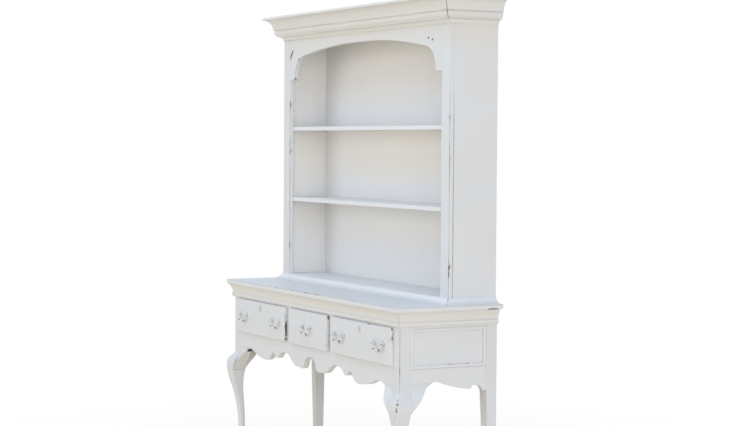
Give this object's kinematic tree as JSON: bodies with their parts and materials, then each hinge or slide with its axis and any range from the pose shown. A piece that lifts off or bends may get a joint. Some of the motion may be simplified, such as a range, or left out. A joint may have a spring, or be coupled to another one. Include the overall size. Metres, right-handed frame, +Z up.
{
  "type": "welsh dresser",
  "caption": "Painted wooden dresser: an open rack with shelves under an arched header and cornice, on a table base with sliding drawers, bail pulls, a scalloped apron and cabriole legs.",
  "frame": {"origin": "on the floor, in the middle of the plan of the whole dresser, pulls included", "axes": "+X to the right and +Y to the back, seen from the front, +Z up"},
  "size_m": [1.702, 0.4896, 2.01],
  "materials": {
    "painted_wood": "worn satin paint",
    "bare_wood": "bare, aged",
    "pull_metal": "painted over, worn"
  },
  "bodies": {
    "carcass": {"leg_front_left": "painted_wood", "leg_front_right": "painted_wood", "leg_rear_left": "painted_wood", "leg_rear_right": "painted_wood", "front_top_rail": "painted_wood", "front_apron": "painted_wood", "drawer_divider_left": "painted_wood", "drawer_divider_right": "painted_wood", "side_top_rails": "painted_wood", "side_apron_left": "painted_wood", "side_apron_right": "painted_wood", "side_panel_left": "painted_wood", "side_panel_right": "painted_wood", "side_panel_beads": "painted_wood", "knee_blocks": "painted_wood", "base_back": "painted_wood", "table_top": "painted_wood", "top_moulding_front": "painted_wood", "top_moulding_returns": "painted_wood", "rack_skirt_front": "painted_wood", "rack_skirt_returns": "painted_wood", "cornice_front": "painted_wood", "cornice_returns": "painted_wood", "rack_side_left": "painted_wood", "rack_side_right": "painted_wood", "shelf_upper": "painted_wood", "shelf_lower": "painted_wood", "rack_roof": "painted_wood", "rack_floor": "painted_wood", "rack_back": "painted_wood", "rack_stile_left": "painted_wood", "rack_stile_right": "painted_wood", "arch_header": "painted_wood", "drawer_runners": "bare_wood", "drawer_kickers": "bare_wood"},
    "drawer_left": {"drawer_left_front": "painted_wood", "drawer_left_sides": "bare_wood", "drawer_left_back": "bare_wood", "drawer_left_bottom": "bare_wood", "pull_plates_left": "pull_metal", "pull_posts_left": "pull_metal", "escutcheon_left": "pull_metal"},
    "drawer_centre": {"drawer_centre_front": "painted_wood", "drawer_centre_sides": "bare_wood", "drawer_centre_back": "bare_wood", "drawer_centre_bottom": "bare_wood", "pull_plates_centre": "pull_metal", "pull_posts_centre": "pull_metal"},
    "drawer_right": {"drawer_right_front": "painted_wood", "drawer_right_sides": "bare_wood", "drawer_right_back": "bare_wood", "drawer_right_bottom": "bare_wood", "pull_plates_right": "pull_metal", "pull_posts_right": "pull_metal", "escutcheon_right": "pull_metal"},
    "bail_left_a": {"bail_left_a": "pull_metal"},
    "bail_left_b": {"bail_left_b": "pull_metal"},
    "bail_centre": {"bail_centre": "pull_metal"},
    "bail_right_a": {"bail_right_a": "pull_metal"},
    "bail_right_b": {"bail_right_b": "pull_metal"}
  },
  "joints": [
    {"name": "drawer_left_slide", "type": "slide", "parent": "carcass", "child": "drawer_left", "axis": [0, -1, 0], "range_m": [0, 0.28]},
    {"name": "drawer_centre_slide", "type": "slide", "parent": "carcass", "child": "drawer_centre", "axis": [0, -1, 0], "range_m": [0, 0.28]},
    {"name": "drawer_right_slide", "type": "slide", "parent": "carcass", "child": "drawer_right", "axis": [0, -1, 0], "range_m": [0, 0.28]},
    {"name": "bail_left_a_hinge", "type": "hinge", "parent": "drawer_left", "child": "bail_left_a", "pos_m": [-0.661, -0.23885, 0.638], "axis": [-1, 0, 0], "range_deg": [-15, 95]},
    {"name": "bail_left_b_hinge", "type": "hinge", "parent": "drawer_left", "child": "bail_left_b", "pos_m": [-0.313, -0.23885, 0.638], "axis": [-1, 0, 0], "range_deg": [-15, 95]},
    {"name": "bail_centre_hinge", "type": "hinge", "parent": "drawer_centre", "child": "bail_centre", "pos_m": [0, -0.23885, 0.638], "axis": [-1, 0, 0], "range_deg": [-15, 95]},
    {"name": "bail_right_a_hinge", "type": "hinge", "parent": "drawer_right", "child": "bail_right_a", "pos_m": [0.313, -0.23885, 0.638], "axis": [-1, 0, 0], "range_deg": [-15, 95]},
    {"name": "bail_right_b_hinge", "type": "hinge", "parent": "drawer_right", "child": "bail_right_b", "pos_m": [0.661, -0.23885, 0.638], "axis": [-1, 0, 0], "range_deg": [-15, 95]}
  ]
}
